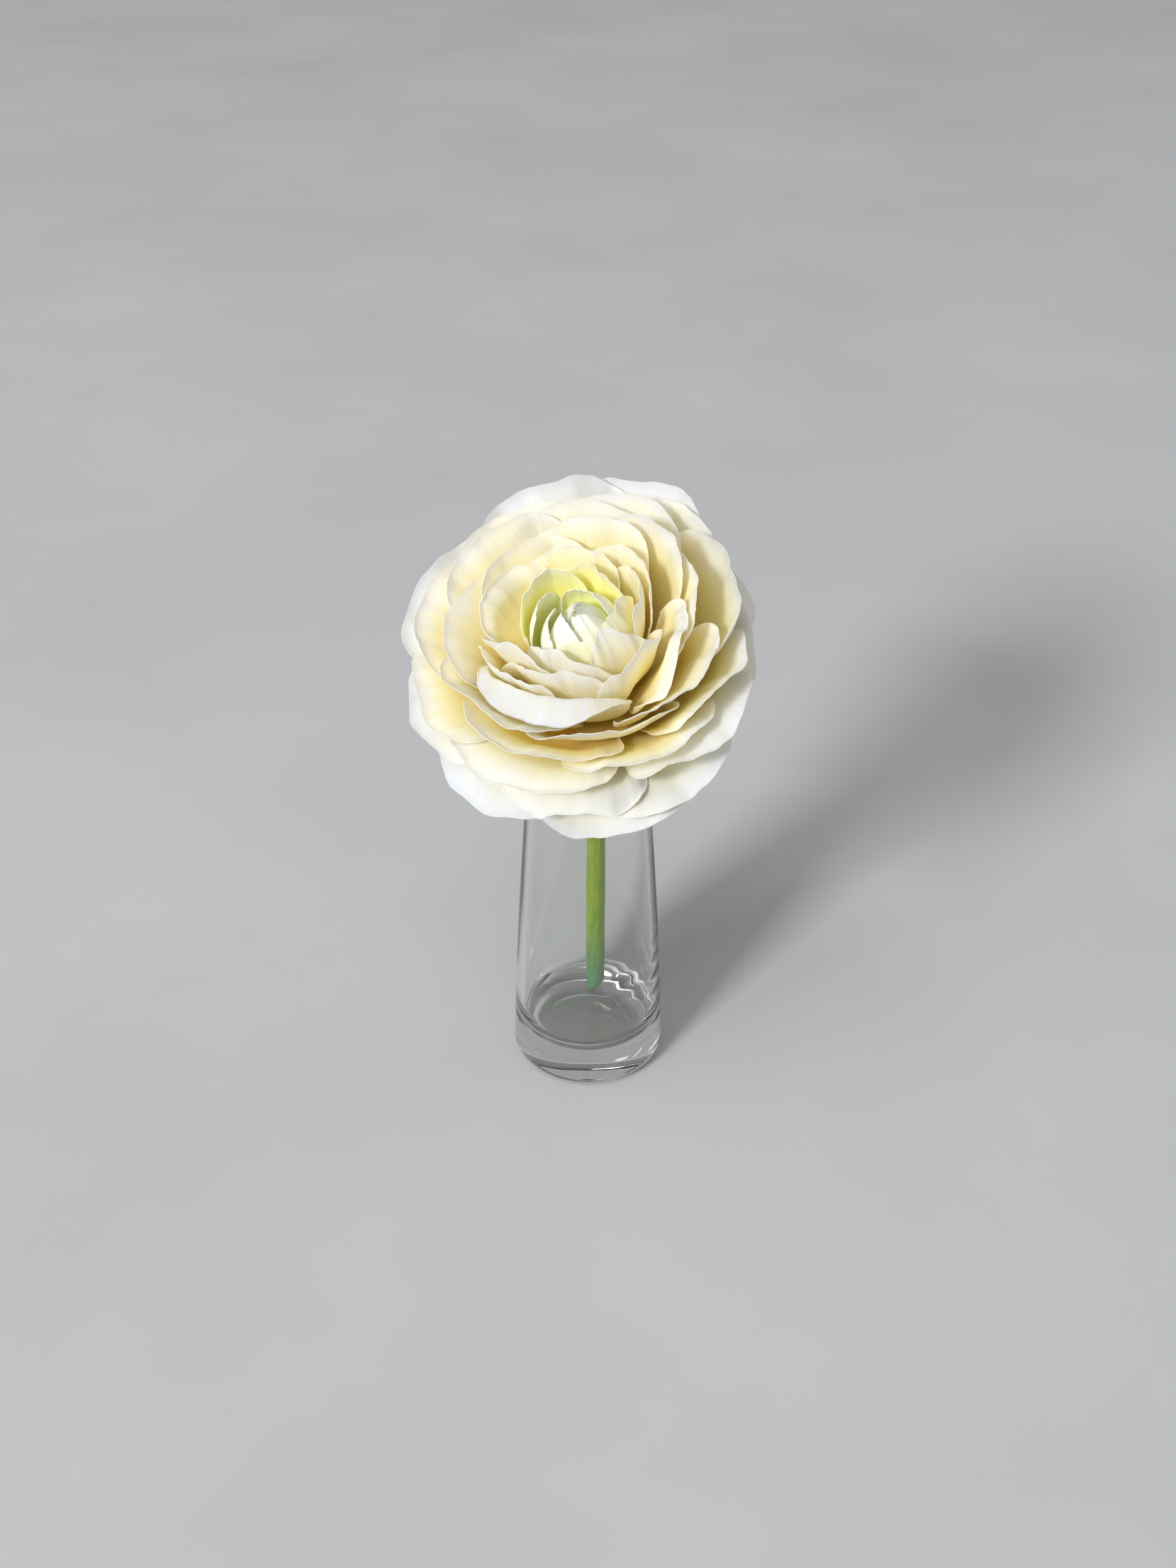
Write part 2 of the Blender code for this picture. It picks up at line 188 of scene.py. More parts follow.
# Each whorl: thickness at the root and at the rim, lean of its waves in degrees, waviness of the outline as a
# share of reach, fine raggedness of the rim in millimetres, and outward roll of the very rim in degrees
FINISH = {
    "heart_petal": (0.30, 0.13, 0.4, 0.008, 0.16, 0.0),
    "eye_petal": (0.32, 0.13, 0.6, 0.010, 0.12, 0.5),
    "cup_petal": (0.34, 0.13, 0.7, 0.009, 0.07, 1.0),
    "inner_petal": (0.36, 0.14, 0.7, 0.009, 0.06, 1.0),
    "middle_petal": (0.36, 0.14, 0.7, 0.009, 0.06, 1.5),
    "outer_petal": (0.38, 0.14, 0.7, 0.009, 0.06, 1.5),
    "guard_petal": (0.40, 0.15, 0.8, 0.010, 0.07, 1.5),
    "sepal": (0.42, 0.22, 1.6, 0.006, 0.02, -4.0),
}


def smooth(x):
    """0 below 0, 1 above 1, and an S curve between them."""
    x = np.clip(x, 0.0, 1.0)
    return x * x * (3.0 - 2.0 * x)


def width_at(along):
    """Share of a petal's half width at that share of its length: a narrow claw, then a broad blade."""
    return CLAW + (1.0 - CLAW) * np.sin(np.pi / 2 * np.clip(along / 0.66, 0.0, 1.0))


def length_at(across):
    """Share of a petal's length at that share of its half width: a rounded top."""
    return 1.0 - 0.36 * (1.0 - (1.0 - np.abs(across) ** 2.4) ** (1 / 2.4))


def fold_up(along, fold):
    """Share of the reach at that share of the length: a folded petal stops reaching out near its rim."""
    return (along - FOLD_RATE * fold * np.maximum(along - FOLD_START, 0.0) ** 2) / fold_total(fold)


def fold_total(fold):
    return 1.0 - FOLD_RATE * fold * (1.0 - FOLD_START) ** 2


def unfold(share, fold):
    """The share of the length that has that share of the reach."""
    flat = share * fold_total(fold)
    if fold == 0.0:
        return flat
    rate = FOLD_RATE * fold
    inside = np.clip(1.0 - 4.0 * rate * (flat - FOLD_START), 0.0, 1.0)
    return np.where(flat < FOLD_START, flat, FOLD_START + (1.0 - np.sqrt(inside)) / (2.0 * rate))


def between(grid, i, j):
    """Values of a grid at fractional places."""
    i0 = np.clip(np.floor(i).astype(int), 0, grid.shape[0] - 2)
    j0 = np.clip(np.floor(j).astype(int), 0, grid.shape[1] - 2)
    u, v = i - i0, j - j0
    low = grid[i0, j0] * (1 - v) + grid[i0, j0 + 1] * v
    high = grid[i0 + 1, j0] * (1 - v) + grid[i0 + 1, j0 + 1] * v
    return low * (1 - u) + high * u


def spline_weights(t):
    """The four Catmull-Rom weights at a share t between the middle two points."""
    return (
        0.5 * (-t + 2 * t**2 - t**3),
        0.5 * (2 - 5 * t**2 + 3 * t**3),
        0.5 * (t + 4 * t**2 - 3 * t**3),
        0.5 * (-(t**2) + t**3),
    )


def smoothly_between(grid, i, j):
    """Values of a grid at fractional places, on a smooth surface through its points."""
    i0 = np.clip(np.floor(i).astype(int), 0, grid.shape[0] - 2)
    j0 = np.clip(np.floor(j).astype(int), 0, grid.shape[1] - 2)
    total = np.zeros(np.shape(i))
    for di, wi in enumerate(spline_weights(i - i0), -1):
        for dj, wj in enumerate(spline_weights(j - j0), -1):
            rows = np.clip(i0 + di, 0, grid.shape[0] - 1)
            columns = np.clip(j0 + dj, 0, grid.shape[1] - 1)
            total += wi * wj * grid[rows, columns]
    return total


def sum_around(grid):
    """Sum of the four neighbours of each point of a grid, whose border counts twice."""
    wide = np.pad(grid, 1, mode="edge")
    return wide[:-2, 1:-1] + wide[2:, 1:-1] + wide[1:-1, :-2] + wide[1:-1, 2:]


def blurred(grid):
    """Each point averaged with its neighbours, itself counted twice."""
    return (sum_around(grid) + 2 * grid) / 6


def on_corners(values, i, j, shape):
    """A grid whose points hold the highest value of the places next to them."""
    grid = np.zeros(shape)
    for corner_i in (np.floor(i).astype(int), np.ceil(i).astype(int)):
        for corner_j in (np.floor(j).astype(int), np.ceil(j).astype(int)):
            np.maximum.at(grid, (corner_i, corner_j), values)
    return grid


def swell(needed, i, j, shape):
    """A smooth push on a cage of that shape that covers what is needed at places i, j, as in the CAD."""
    push = np.zeros(shape)
    for _ in range(LAYING_ROUNDS):
        lack = np.maximum(needed - between(push, i, j), 0.0)
        push += LAYING_EASE * on_corners(lack, i, j, shape)
        push = np.maximum(push, LAYING_EASE * (sum_around(push) / 4))
    return push


def drape(needed, i, j, shape):
    """A push that covers what is needed in one soft swell, as a sheet laid over it would."""
    least = on_corners(needed, i, j, shape)
    push = least
    for _ in range(SETTLE_ROUNDS):
        push = np.maximum(least, blurred(push))
    return push


def lacking(below, pitch, reaches, leans):
    """Degrees by which a sheet has to lean out to lie a pitch in millimetres above what is below it."""
    needed = below + np.degrees(pitch / reaches) - leans
    return np.where(np.isfinite(needed), np.maximum(needed, 0.0), 0.0)


def sine_sum(shares, waves, chance, spread=0.0):
    """Sines across a petal, each with a drawn phase and, with a spread, a drawn number of turns."""
    total = np.zeros_like(shares)
    for turns, size in waves:
        if spread:
            turns = turns * chance.uniform(1.0 - spread, 1.0 + spread)
        total += size * np.sin(math.pi * turns * shares + chance.uniform(0, 6.3))
    return total


def highest_near(layer, azimuths, reaches, steps, around):
    """Highest value of the map cells round each point; the azimuth wraps round."""
    i0 = np.floor((azimuths % 360.0) / steps[0]).astype(int)
    j0 = np.floor((reaches - ROOT_REACH) / steps[1]).astype(int)
    found = np.full(azimuths.shape, -np.inf)
    for di in around:
        for dj in around:
            i, j = (i0 + di) % layer.shape[0], np.clip(j0 + dj, 0, layer.shape[1] - 1)
            found = np.maximum(found, layer[i, j])
    return found


class Petal:
    """One petal's azimuth, reach and lean, as shares across (-1 to 1) and along (0 to 1) it."""

    def __init__(self, name, whorl, azimuth, tip, changes):
        reach, half_width, root, belly, curl = WHORLS[whorl]
        values = {"reach": reach, "half_width": half_width, "root": root, "belly": belly, "curl": curl}
        values.update({"swirl": 0.0, "roll": 0.0, "twist": 2.0, "fold": 0.0})
        values.update(changes)
        self.name, self.whorl, self.azimuth, self.tip = name, whorl, azimuth, tip
        self.finish = "sepal" if name.startswith("sepal") else whorl
        self.__dict__.update(values)
        shares = np.sin(np.linspace(-1, 1, ACROSS + 1) * math.pi / 2)
        across, along = np.meshgrid(shares, SHARES_ALONG, indexing="ij")
        self.azimuths, self.reaches, self.leans = self.sheet(across, along)
        self.push = np.zeros_like(self.leans)

    def sheet(self, across, along):
        """Azimuth, reach and lean at shares across and along the petal, before it is pushed by others."""
        azimuths = self.azimuth + across * self.half_width * width_at(along) + self.swirl * (along - 0.5)
        reaches = ROOT_REACH + (self.reach - ROOT_REACH) * fold_up(along, self.fold) * length_at(across)
        rise = self.root + (self.tip - self.root) * along
        belly = self.belly * np.sin(np.pi * along)
        curl = self.curl * (smooth((along - 0.7) / 0.3) - along**2 * 0.5)
        roll = self.roll * smooth((along - ROLL_START) / (1.0 - ROLL_START))
        roll = roll * (1.0 - SIDE_HOLD * across**2)
        return azimuths, reaches, rise + belly + curl + roll + self.twist * across * along

    def shares_of(self, azimuths, reaches):
        """Shares across and along the petal of points given by azimuth and reach."""
        rise = (reaches - ROOT_REACH) / (self.reach - ROOT_REACH)
        along = unfold(rise, self.fold)
        for _ in range(8):
            inside = np.clip(along, 0.0, 1.0)
            turn = azimuths - self.azimuth - self.swirl * (inside - 0.5)
            across = ((turn + 180.0) % 360.0 - 180.0) / (self.half_width * width_at(inside))
            along = unfold(rise / length_at(np.clip(across, -1.0, 1.0)), self.fold)
        return across, along

    def cage_place(self, across, along):
        """Fractional place in the CAD's cage."""
        i = (np.arcsin(np.clip(across, -1, 1)) / math.pi + 0.5) * ACROSS
        return i, np.interp(np.clip(along, 0, 1), SHARES_ALONG, np.arange(len(SHARES_ALONG)))

    def lean_map(self):
        """Lean over the map, and -inf where the petal isn't."""
        azimuths, reaches = np.meshgrid(MAP_AZIMUTHS, MAP_REACHES, indexing="ij")
        across, along = self.shares_of(azimuths, reaches)
        near = (np.abs(across) < 1.12) & (along > -0.05) & (along < 1.06)
        return np.where(near, between(self.leans, *self.cage_place(across, along)), -np.inf)

    def lie_over(self, layer):
        """Leans out wherever the petal would touch what is already laid, as in the CAD."""
        rows = np.linspace(0, ACROSS, ACROSS * LAYING_STEPS + 1)
        columns = np.linspace(0, len(SHARES_ALONG) - 1, (len(SHARES_ALONG) - 1) * LAYING_STEPS + 1)
        i, j = np.meshgrid(rows, columns, indexing="ij")
        reaches = between(self.reaches, i, j)
        below = highest_near(layer, between(self.azimuths, i, j), reaches, MAP_STEPS, (0, 1))
        needed = lacking(below, LAYER_PITCH, reaches, between(self.leans, i, j))
        self.push = swell(needed, i, j, self.leans.shape)
        self.leans = self.leans + self.push

    def refine(self, number):
        """The fine sheet: the CAD's sheet with waves, an uneven rim and a roll outwards."""
        chance = np.random.default_rng(number)
        root_thick, rim_thick, wave, ragged, jag, rim_roll = FINISH[self.finish]
        shares = np.sin(np.linspace(-1, 1, FINE_ACROSS + 1) * math.pi / 2)
        rise = np.linspace(0, 1, FINE_ALONG + 1)
        u, v = np.meshgrid(shares, 1.0 - (1.0 - rise) ** RIM_CROWDING, indexing="ij")
        azimuths, reaches, leans = self.sheet(u, v)
        leans = leans + smoothly_between(blurred(self.push), *self.cage_place(u, v))
        waves = np.zeros_like(u)
        outline = np.zeros_like(u)
        for turns, size in WAVES:
            turns = turns * chance.uniform(0.85, 1.15)
            drift = chance.uniform(-0.8, 0.8)
            waves += size * np.sin(math.pi * turns * u + drift * v + chance.uniform(0, 6.3))
            outline += size * np.sin(math.pi * turns * 1.2 * u + chance.uniform(0, 6.3))
        ripple = smooth((v - 0.3) / 0.7) ** 1.4
        pleats = PLEAT_LEAN * sine_sum(u, PLEATS, chance, 0.1)
        leans = leans + wave * waves * ripple + pleats * smooth((v - 0.45) / 0.5)
        teeth = jag * sine_sum(u, RIM_TEETH, chance)
        reaches = reaches + 0.7 * (self.reach * ragged * outline + teeth) * smooth((v - 0.45) / 0.55)
        rolled = rim_roll * (0.6 + 0.4 * np.sin(math.pi * 1.7 * u + chance.uniform(0, 6.3)))
        leans = leans + rolled * smooth((v - 0.86) / 0.14)
        if self.name == "heart_petal_01":
            leans = leans - BUD_CLOSING * smooth((v - 0.6) / 0.4)
        self.u, self.v = u, v
        self.fine = [azimuths, reaches, leans]
        edge = np.maximum(v, np.abs(u) ** 6 * smooth(v / 0.5))
        self.edge = 1.0 - (1.0 - edge) * (1.0 - LIP_PALENESS * self.fold)
        self.thick = rim_thick + (root_thick - rim_thick) * (1.0 - smooth((edge - 0.55) / 0.45))

    def settle(self, layer):
        """Leans the fine sheet out of what is already laid, then adds it to the map."""
        azimuths, reaches, leans = self.fine
        below = highest_near(layer, azimuths, reaches, FINE_STEPS, (-1, 0, 1))
        needed = lacking(below, FINE_PITCH, reaches, leans)
        i = (np.arcsin(np.clip(self.u, -1, 1)) / math.pi + 0.5) * SWELL_ACROSS
        j = self.v * SWELL_ALONG
        push = drape(needed, i, j, (SWELL_ACROSS + 1, SWELL_ALONG + 1))
        leans = leans + smoothly_between(push, i, j)
        self.fine[2] = leans
        rows = np.linspace(0, leans.shape[0] - 1, 2 * leans.shape[0] - 1)
        columns = np.linspace(0, leans.shape[1] - 1, 3 * leans.shape[1] - 2)
        i, j = np.meshgrid(rows, columns, indexing="ij")
        a = np.floor((between(azimuths, i, j) % 360.0) / FINE_STEPS[0]).astype(int) % layer.shape[0]
        r = np.floor((between(reaches, i, j) - ROOT_REACH) / FINE_STEPS[1]).astype(int)
        np.maximum.at(layer, (a, np.clip(r, 0, layer.shape[1] - 1)), between(leans, i, j))

    def points(self):
        """The fine sheet's points in the flower's frame, with the root sunk into the receptacle."""
        azimuths, reaches, leans = self.fine
        azimuths, leans = np.radians(azimuths), np.radians(leans)
        reaches = reaches - ROOT_SINK * (1.0 - smooth(self.v / 0.06))
        r = reaches * np.sin(leans)
        return np.stack([r * np.cos(azimuths), r * np.sin(azimuths), reaches * np.cos(leans)], -1)


# ---------------------------------------------------------------- meshes
def mesh_object(name, vertices, faces, material):
    """A smooth-shaded mesh object from points in millimetres."""
    mesh = bpy.data.meshes.new(name)
    mesh.from_pydata((np.asarray(vertices, float) * MM).tolist(), [], faces)
    mesh.materials.append(material)
    mesh.shade_smooth()
    obj = bpy.data.objects.new(name, mesh)
    bpy.context.scene.collection.objects.link(obj)
    return obj


def sheet_object(petal, place, material):
    """A petal as a closed thin solid, its shares as UVs and its nearness to the rim as an attribute."""
    points = petal.points()
    rows, columns = points.shape[:2]
    rotation, origin = np.array(place.to_3x3()), np.array(place.translation)
    points = points @ rotation.T + origin
    normals = np.cross(np.gradient(points, axis=0), np.gradient(points, axis=1))
    normals /= np.maximum(np.linalg.norm(normals, axis=-1, keepdims=True), 1e-9)
    offset = normals * (petal.thick[..., None] / 2)
    vertices = np.concatenate([(points + offset).reshape(-1, 3), (points - offset).reshape(-1, 3)])
    index = np.arange(rows * columns).reshape(rows, columns)
    a, b = index[:-1, :-1].ravel(), index[1:, :-1].ravel()
    c, d = index[1:, 1:].ravel(), index[:-1, 1:].ravel()
    count = rows * columns
    border = np.concatenate([index[:, 0], index[-1, 1:], index[-2::-1, -1], index[0, -2:0:-1]])
    ahead = np.roll(border, -1)
    faces = np.concatenate([
        np.stack([a, b, c, d], -1),
        np.stack([d + count, c + count, b + count, a + count], -1),
        np.stack([border, border + count, ahead + count, ahead], -1),
    ])
    obj = mesh_object(petal.name + "_skin", vertices, faces.tolist(), material)
    mesh = obj.data

    ends = np.empty(2 * len(mesh.edges), np.int32)
    mesh.edges.foreach_get("vertices", ends)
    on_border = np.zeros(2 * count, bool)
    on_border[np.concatenate([border, border + count])] = True
    sharp = mesh.attributes.new("sharp_edge", "BOOLEAN", "EDGE")
    sharp.data.foreach_set("value", on_border[ends.reshape(-1, 2)].all(axis=1))

    corners = np.empty(len(mesh.loops), np.int32)
    mesh.loops.foreach_get("vertex_index", corners)
    shares = np.stack([petal.u.ravel() * 0.5 + 0.5, petal.v.ravel()], -1)
    shares = np.concatenate([shares, shares])
    layer = mesh.uv_layers.new(name="shares")
    layer.data.foreach_set("uv", shares[corners].astype(np.float32).ravel())

    outer = 1.0 - (1.0 - OUTER_PALENESS) * (1.0 - petal.edge)
    sides = np.concatenate([outer.ravel(), petal.edge.ravel()]).astype(np.float32)
    mesh.attributes.new("edge", "FLOAT", "POINT").data.foreach_set("value", sides)
    return obj


def loft(rings):
    """Vertices and faces of a closed skin over rings of equal counts."""
    count = len(rings[0])
    vertices = [tuple(point) for ring in rings for point in ring]
    faces = []
    for i in range(len(rings) - 1):
        for j in range(count):
            k = (j + 1) % count
            faces.append((i * count + j, i * count + k, (i + 1) * count + k, (i + 1) * count + j))
    faces.append(tuple(reversed(range(count))))
    faces.append(tuple(range(len(vertices) - count, len(vertices))))
    return vertices, faces


def finish_piece(obj, nodes):
    """Rides on the body and stands for its CAD nodes, which it hides."""
    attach(obj, "root")
    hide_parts(*nodes)


# ---------------------------------------------------------------- materials
class Nodes:
    """Short calls for building a node tree."""

    def __init__(self, name):
        self.material = bpy.data.materials.new(name)
        self.material.use_nodes = True
        self.tree = self.material.node_tree
        self.shader = self.tree.nodes["Principled BSDF"]

    def add(self, kind, inputs=None, **settings):
        node = self.tree.nodes.new("ShaderNode" + kind)
        for key, value in settings.items():
            setattr(node, key, value)
        for key, value in (inputs or {}).items():
            self.put(node.inputs[key], value)
        return node

    def put(self, socket, value):
        if isinstance(value, bpy.types.NodeSocket):
            self.tree.links.new(value, socket)
        else:
            socket.default_value = value

    def set(self, **values):
        for key, value in values.items():
            self.put(self.shader.inputs[key.replace("_", " ")], value)

    def math(self, operation, a, b=0.0, c=0.0, clamp=False):
        return self.add("Math", {0: a, 1: b, 2: c}, operation=operation, use_clamp=clamp).outputs[0]

    def noise(self, vector, scale, detail=2.0, roughness=0.5):
        inputs = {"Vector": vector, "Scale": scale, "Detail": detail, "Roughness": roughness}
        return self.add("TexNoise", inputs).outputs["Fac"]

    def scaled(self, vector, factors):
        return self.add("Mapping", {"Vector": vector, "Scale": factors}).outputs[0]

    def here(self):
        """Place on the object, in metres."""
        return self.add("TexCoord").outputs["Object"]

    def shares(self):
        """Shares across and along a petal, each from 0 to 1."""
        return self.add("UVMap", uv_map="shares").outputs[0]

    def ramp(self, factor, stops):
        node = self.add("ValToRGB", {"Fac": factor})
        while len(node.color_ramp.elements) < len(stops):
            node.color_ramp.elements.new(0.5)
        for element, (position, colour) in zip(node.color_ramp.elements, stops):
            element.position = position
            element.color = (*colour, 1.0)
        return node.outputs["Color"]

    def mix(self, factor, a, b, blend="MIX"):
        node = self.add("Mix", {"Factor": factor}, data_type="RGBA", blend_type=blend)
        self.put(node.inputs[6], a)
        self.put(node.inputs[7], b)
        return node.outputs[2]

    def bump(self, height, strength, distance):
        return self.add("Bump", {"Height": height, "Strength": strength, "Distance": distance}).outputs[0]

    def let_light_through(self, weight, depth):
        self.shader.inputs["Subsurface Weight"].default_value = weight
        self.shader.inputs["Subsurface Scale"].default_value = depth


def petal_material(name, stops, translucence, depth):
    """Deep colour at the root to a pale rim, with ribs that run up the petal, mottling and specks."""
    n = Nodes(name)
    uv, here = n.shares(), n.here()
    edge = n.add("Attribute", attribute_name="edge").outputs["Fac"]
    ribs = n.noise(n.scaled(uv, (26.0, 2.2, 1.0)), 1.0, 2.0, 0.5)
    fine_ribs = n.noise(n.scaled(uv, (90.0, 6.0, 1.0)), 1.0, 2.0, 0.5)
    mottle = n.noise(here, 90.0, 3.0, 0.55)
    grain = n.noise(here, 2600.0, 2.0, 0.6)
    shift = n.math("MULTIPLY_ADD", mottle, 0.22, -0.11)
    shift = n.math("ADD", shift, n.math("MULTIPLY_ADD", ribs, 0.16, -0.08))
    colour = n.ramp(n.math("ADD", edge, shift, clamp=True), stops)
    veins = n.math("MULTIPLY_ADD", fine_ribs, 0.08, 0.95)
    veins = n.add("CombineColor", {0: veins, 1: veins, 2: veins}).outputs[0]
    colour = n.mix(0.6, colour, veins, "MULTIPLY")
    specks = n.noise(here, 420.0, 1.0, 0.4)
    speck = n.ramp(specks, [(0.0, (0, 0, 0)), (0.79, (0, 0, 0)), (0.81, (0.35, 0.35, 0.35))])
    colour = n.mix(speck, colour, (0.42, 0.33, 0.16, 1.0))
    n.set(Base_Color=colour)
    n.set(Roughness=n.math("MULTIPLY_ADD", grain, 0.2, 0.42))
    height = n.math("ADD", n.math("MULTIPLY", ribs, 0.7), n.math("MULTIPLY", fine_ribs, 0.45))
    height = n.math("ADD", height, n.math("MULTIPLY", grain, 0.12))
    n.set(Normal=n.bump(height, 0.35, 0.0003))
    n.let_light_through(translucence, depth)
    n.shader.inputs["Subsurface Radius"].default_value = (1.0, 0.85, 0.55)
    n.shader.inputs["Specular IOR Level"].default_value = 0.35
    return n.material


def stem_material():
    """Fresh stem: greens in long streaks, yellower patches, and a blue-green stain at the cut foot."""
    n = Nodes("stem_green")
    here = n.here()
    streaks = n.noise(n.scaled(here, (900.0, 900.0, 45.0)), 1.0, 3.0, 0.6)
    patches = n.noise(here, 70.0, 2.0, 0.5)
    greens = [(0.2, (0.13, 0.27, 0.01)), (0.5, (0.27, 0.48, 0.02)), (0.8, (0.48, 0.66, 0.06))]
    yellowing = n.math("MULTIPLY_ADD", patches, 1.2, -0.35, clamp=True)
    colour = n.mix(yellowing, n.ramp(streaks, greens), (0.50, 0.62, 0.03, 1.0))
    height = n.add("SeparateXYZ", {0: here}).outputs["Z"]
    low = n.math("MULTIPLY_ADD", height, -48.0, 1.75, clamp=True)
    low = n.math("MULTIPLY", low, n.math("MULTIPLY_ADD", streaks, 0.8, 0.35), clamp=True)
    colour = n.mix(low, colour, (0.13, 0.38, 0.26, 1.0))
    n.set(Base_Color=colour)
    n.set(Roughness=n.math("MULTIPLY_ADD", patches, 0.25, 0.3))
    n.set(Normal=n.bump(streaks, 0.35, 0.0003))
    n.let_light_through(0.15, 0.001)
    return n.material


def sepal_material():
    """Leaf green with pale veins running to the tip."""
    n = Nodes("sepal_green")
    uv, here = n.shares(), n.here()
    veins = n.noise(n.scaled(uv, (26.0, 2.0, 1.0)), 1.0, 2.0, 0.5)
    mottle = n.noise(here, 160.0, 3.0, 0.6)
    greens = [(0.25, (0.16, 0.27, 0.05)), (0.55, (0.27, 0.38, 0.09)), (0.8, (0.46, 0.52, 0.20))]
    colour = n.mix(n.math("MULTIPLY", mottle, 0.6), n.ramp(veins, greens), (0.36, 0.42, 0.10, 1.0))
    n.set(Base_Color=colour)
    n.set(Roughness=n.math("MULTIPLY_ADD", mottle, 0.3, 0.4))
    n.set(Normal=n.bump(veins, 0.5, 0.0004))
    n.let_light_through(0.15, 0.001)
    return n.material


def glass_material():
    """Clear glass, very faintly warm, with soft pulls in its surface."""
    n = Nodes("clear_glass")
    here = n.here()
    pulls = n.noise(n.scaled(here, (55.0, 55.0, 14.0)), 1.0, 2.0, 0.5)
    haze = n.noise(here, 300.0, 3.0, 0.6)
    n.set(Base_Color=n.mix(pulls, (0.94, 0.94, 0.92, 1.0), (0.965, 0.965, 0.95, 1.0)))
    n.set(Roughness=n.math("MULTIPLY_ADD", haze, 0.02, 0.0, clamp=True))
    n.set(Normal=n.bump(pulls, 0.25, 0.0006))
    n.shader.inputs["Transmission Weight"].default_value = 1.0
    n.shader.inputs["IOR"].default_value = 1.5
    return n.material


def floor_material():
    """Pale plaster-like floor with very faint clouding."""
    n = Nodes("pale_floor")
    here = n.here()
    clouds = n.noise(here, 6.0, 4.0, 0.55)
    n.set(Base_Color=n.ramp(clouds, [(0.3, (0.53, 0.545, 0.56)), (0.7, (0.59, 0.605, 0.62))]))
    n.shader.inputs["Roughness"].default_value = 0.75
    n.shader.inputs["Specular IOR Level"].default_value = 0.2
    return n.material


# ---------------------------------------------------------------- vase
VASE_SIDES = 160
AXIS_GAP = 0.02
FLOOR_CROWN = 0.35

# The inner wall's waves stop within the still radius. Ripples lie round one height, out to their spread
STILL_RADIUS = 3.0
RIPPLE_HEIGHT = 28.0
RIPPLE_SPREAD = 9.0
RIPPLE_DEPTH = 0.06


def arc(centre_r, centre_z, radius, start, end, steps):
    """Profile points along an arc, with angles in degrees from the +r direction."""
    angles = np.radians(np.linspace(start, end, steps + 1))
    return [(centre_r + radius * math.cos(a), centre_z + radius * math.sin(a)) for a in angles]


def vase_radius(z):
    """Outer radius of the vase at that height."""
    return VASE_RADIUS - VASE_TAPER * z - VASE_TAPER_GROWTH * z * z


def outer_profile():
    """Radius and height along the outside of the vase, from under its middle to the top of its lip."""
    heel = vase_radius(HEEL_RADIUS) - HEEL_RADIUS
    lip_height = VASE_HEIGHT - LIP_WALL / 2
    lip_middle = vase_radius(VASE_HEIGHT) - LIP_WALL / 2
    profile = [(AXIS_GAP, 0.5), (heel - 2.6, 0.45), (heel - 1.4, 0.12), (heel - 0.4, 0.0)]
    profile += arc(heel, HEEL_RADIUS, HEEL_RADIUS, -86, 0, 20)
    profile += [(vase_radius(z), z) for z in np.linspace(9.5, lip_height, 46)]
    return profile + arc(lip_middle, lip_height, LIP_WALL / 2, 20, 160, 8)


def inner_profile():
    """Radius and height down the inside of the vase, over its rounded corner to the middle of its floor."""
    profile = []
    for z in np.linspace(FLOOR + CORNER_RADIUS + 1.0, VASE_HEIGHT - LIP_WALL / 2, 110)[::-1]:
        wall = WALL + (LIP_WALL - WALL) * (z / VASE_HEIGHT) ** 2
        profile.append((vase_radius(z) - wall, z))
    corner = vase_radius(FLOOR + CORNER_RADIUS) - WALL - CORNER_RADIUS
    profile += arc(corner, FLOOR + CORNER_RADIUS, CORNER_RADIUS, -4, -86, 20)
    profile += [(corner * (1 - t), FLOOR + FLOOR_CROWN * t * t) for t in np.linspace(0.08, 1.0, 12)[:-1]]
    return profile + [(AXIS_GAP, FLOOR + FLOOR_CROWN)]


def glass_waves(z, angles):
    """How far the blown inner wall strays from a true circle: long drags, and low ripples on the right."""
    drags = 0.02 * np.sin(3 * angles + 0.05 * z) + 0.012 * np.sin(7 * angles - 0.09 * z + 1.0)
    height_share = math.exp(-(((z - RIPPLE_HEIGHT) / RIPPLE_SPREAD) ** 2))
    ripples = height_share * smooth((np.cos(angles + 0.2) - 0.1) / 0.9)
    return drags + RIPPLE_DEPTH * ripples * np.sin(1.2 * z + 2.2 * np.sin(angles - 0.6))


def make_vase():
    """The vase at full smoothness, on the CAD's own profile."""
    angles = 2 * math.pi * np.arange(VASE_SIDES) / VASE_SIDES
    outside = outer_profile()
    rings = []
    for k, (r, z) in enumerate(outside + inner_profile()):
        waved = k > len(outside) + 2 and r > STILL_RADIUS
        around = r + (glass_waves(z, angles) if waved else np.zeros(VASE_SIDES))
        rings.append(np.stack([around * np.cos(angles), around * np.sin(angles), np.full(VASE_SIDES, z)], -1))
    finish_piece(mesh_object("glass_vase", *loft(rings), glass_material()), ["vase"])


# ---------------------------------------------------------------- stem
# Points round the stem, then rings along its straight part, along its neck and over its slanted cut
STEM_SIDES = 40
STEM_RINGS = 60
NECK_RINGS = 24
CUT_RINGS = 8


def head_matrix():
    """From the flower's own frame to the world's, in millimetres."""
    forward, side = math.radians(FORWARD_TILT), math.radians(SIDE_TILT)
    axis = Vector((-math.sin(side), -math.sin(forward) * math.cos(side), math.cos(forward) * math.cos(side)))
    right = (Vector((1, 0, 0)) - axis * axis.x).normalized()
    back = axis.cross(right)
    turn = Matrix((right, back, axis)).transposed().to_4x4()
    return Matrix.Translation(HEAD) @ turn


